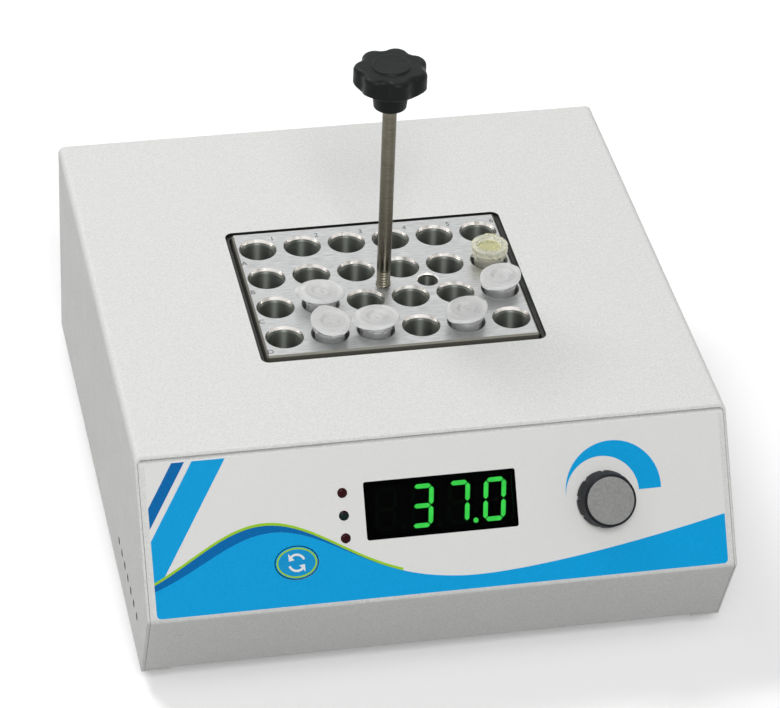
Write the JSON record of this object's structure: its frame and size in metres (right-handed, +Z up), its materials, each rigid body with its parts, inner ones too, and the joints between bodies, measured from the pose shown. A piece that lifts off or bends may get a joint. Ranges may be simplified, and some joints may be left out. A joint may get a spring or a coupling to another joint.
{
  "type": "dry bath incubator",
  "caption": "Bench dry bath: a heated aluminium tube block with a screw-in lifter, set in a folded steel cabinet with a sloped panel, digital display, key and dial.",
  "frame": {"origin": "middle of the footprint at bench level, under the rubber feet", "axes": "+X to the right seen from the front, +Y towards the back with the mains inlet, +Z up"},
  "size_m": [0.202, 0.226, 0.1764],
  "materials": {
    "painted_cover": "fine textured powder coat, light warm grey",
    "panel_film": "satin printed polycarbonate film",
    "tinted_window": "dark tinted acrylic, polished",
    "lit_segments": "green light emitting bars, lit",
    "lamp_lens": "moulded lens, unlit dark red",
    "black_moulding": "moulded black thermoplastic",
    "dial_face": "matt grey moulded cap",
    "circuit_board": "solder resist over glass laminate",
    "block_aluminium": "face milled, bright chamfers",
    "well_aluminium": "as cast, dull grey",
    "plain_aluminium": "as extruded",
    "bare_steel": "plain turned steel",
    "plated_steel": "bright nickel plate",
    "plated_contact": "nickel plated brass",
    "encoder_case": "pressed steel case with threaded bush",
    "heater_silicone": "silicone rubber heating mat",
    "fibre_blanket": "needled glass fibre",
    "foot_rubber": "black moulded rubber",
    "fuse_glass": "glass tube fuse",
    "tube_plastic": "clear polypropylene",
    "lid_plastic": "frosted polypropylene"
  },
  "bodies": {
    "cabinet": {"top_cover": "painted_cover", "base_tray": "painted_cover", "rear_panel": "painted_cover", "front_overlay": "panel_film", "display_window": "tinted_window", "display_module": "black_moulding", "display_digits": "lit_segments", "display_header": "black_moulding", "indicator_lamps": "lamp_lens", "lamp_holders": "black_moulding", "control_board": "circuit_board", "board_standoffs": "plated_steel", "key_switch": "black_moulding", "encoder_body": "encoder_case", "encoder_nut": "plated_steel", "heater_well": "well_aluminium", "heater_mat": "heater_silicone", "heater_clamp_plate": "bare_steel", "thermal_cutout": "plated_steel", "temperature_probe": "bare_steel", "insulation_jacket": "fibre_blanket", "well_brackets": "bare_steel", "rubber_feet": "foot_rubber", "foot_screws": "plated_steel", "cover_screws": "plated_steel", "power_inlet": "black_moulding", "inlet_pins": "plated_contact", "inlet_tags": "plated_contact", "inlet_screws": "plated_steel", "rocker_frame": "black_moulding", "power_board": "circuit_board", "power_board_standoffs": "plated_steel", "transformer": "bare_steel", "heatsink": "plain_aluminium"},
    "dial": {"dial_knob": "black_moulding", "dial_cap": "dial_face", "encoder_shaft": "bare_steel"},
    "mode_key": {"mode_key": "panel_film"},
    "block": {"heating_block": "block_aluminium"},
    "lifter": {"lifter_rod": "bare_steel", "lifter_knob": "black_moulding"},
    "fuse_drawer": {"fuse_drawer": "black_moulding", "glass_fuse": "fuse_glass"},
    "rocker": {"power_rocker": "black_moulding"},
    "tube_2C": {"tube_2C": "tube_plastic"},
    "lid_2C": {"lid_2C": "lid_plastic"},
    "tube_2D": {"tube_2D": "tube_plastic"},
    "lid_2D": {"lid_2D": "lid_plastic"},
    "tube_3D": {"tube_3D": "tube_plastic"},
    "lid_3D": {"lid_3D": "lid_plastic"},
    "tube_5D": {"tube_5D": "tube_plastic"},
    "lid_5D": {"lid_5D": "lid_plastic"},
    "tube_6C": {"tube_6C": "tube_plastic"},
    "lid_6C": {"lid_6C": "lid_plastic"},
    "tube_6B": {"tube_6B": "tube_plastic"},
    "lid_6B": {"lid_6B": "lid_plastic"}
  },
  "joints": [
    {"name": "block_lift", "type": "slide", "parent": "cabinet", "child": "block", "axis": [0, 0, 1], "range_m": [0, 0.06]},
    {"name": "lifter_turn", "type": "hinge", "parent": "block", "child": "lifter", "pos_m": [0, 0.00366, 0.0868], "axis": [0, 0, 1], "continuous": true},
    {"name": "dial_turn", "type": "hinge", "parent": "cabinet", "child": "dial", "pos_m": [0.0565, -0.09845, 0.0621], "axis": [0, -0.8403, 0.5421], "continuous": true},
    {"name": "mode_press", "type": "slide", "parent": "cabinet", "child": "mode_key", "axis": [0, 0.8403, -0.5421], "range_m": [0, 0.0005], "stiffness_N_per_m": 300},
    {"name": "fuse_drawer_slide", "type": "slide", "parent": "cabinet", "child": "fuse_drawer", "axis": [0, 1, 0], "range_m": [0, 0.018]},
    {"name": "power_switch", "type": "hinge", "parent": "cabinet", "child": "rocker", "pos_m": [-0.014, 0.10697, 0.042], "axis": [-1, 0, 0], "range_deg": [0, 18]},
    {"name": "tube_2C_lift", "type": "slide", "parent": "block", "child": "tube_2C", "axis": [0, 0, 1], "range_m": [0, 0.045]},
    {"name": "lid_2C_open", "type": "hinge", "parent": "tube_2C", "child": "lid_2C", "pos_m": [-0.01588, -0.00658, 0.091], "axis": [0.1392, 0.9903, 0], "range_deg": [0, 100]},
    {"name": "tube_2D_lift", "type": "slide", "parent": "block", "child": "tube_2D", "axis": [0, 0, 1], "range_m": [0, 0.045]},
    {"name": "lid_2D_open", "type": "hinge", "parent": "tube_2D", "child": "lid_2D", "pos_m": [-0.02258, -0.03171, 0.091], "axis": [0.9848, 0.1736, 0], "range_deg": [0, 100]},
    {"name": "tube_3D_lift", "type": "slide", "parent": "block", "child": "tube_3D", "axis": [0, 0, 1], "range_m": [0, 0.045]},
    {"name": "lid_3D_open", "type": "hinge", "parent": "tube_3D", "child": "lid_3D", "pos_m": [0.00002, -0.02193, 0.091], "axis": [-0.2079, 0.9781, 0], "range_deg": [0, 100]},
    {"name": "tube_5D_lift", "type": "slide", "parent": "block", "child": "tube_5D", "axis": [0, 0, 1], "range_m": [0, 0.045]},
    {"name": "lid_5D_open", "type": "hinge", "parent": "tube_5D", "child": "lid_5D", "pos_m": [0.03028, -0.01836, 0.091], "axis": [-0.6428, 0.766, 0], "range_deg": [0, 100]},
    {"name": "tube_6C_lift", "type": "slide", "parent": "block", "child": "tube_6C", "axis": [0, 0, 1], "range_m": [0, 0.045]},
    {"name": "lid_6C_open", "type": "hinge", "parent": "tube_6C", "child": "lid_6C", "pos_m": [0.04609, 0.00005, 0.091], "axis": [-0.6691, 0.7431, 0], "range_deg": [0, 100]},
    {"name": "tube_6B_lift", "type": "slide", "parent": "block", "child": "tube_6B", "axis": [0, 0, 1], "range_m": [0, 0.045]},
    {"name": "lid_6B_open", "type": "hinge", "parent": "tube_6B", "child": "lid_6B", "pos_m": [0.04212, 0.02069, 0.091], "axis": [-0.9659, 0.2588, 0], "range_deg": [0, 100]}
  ]
}
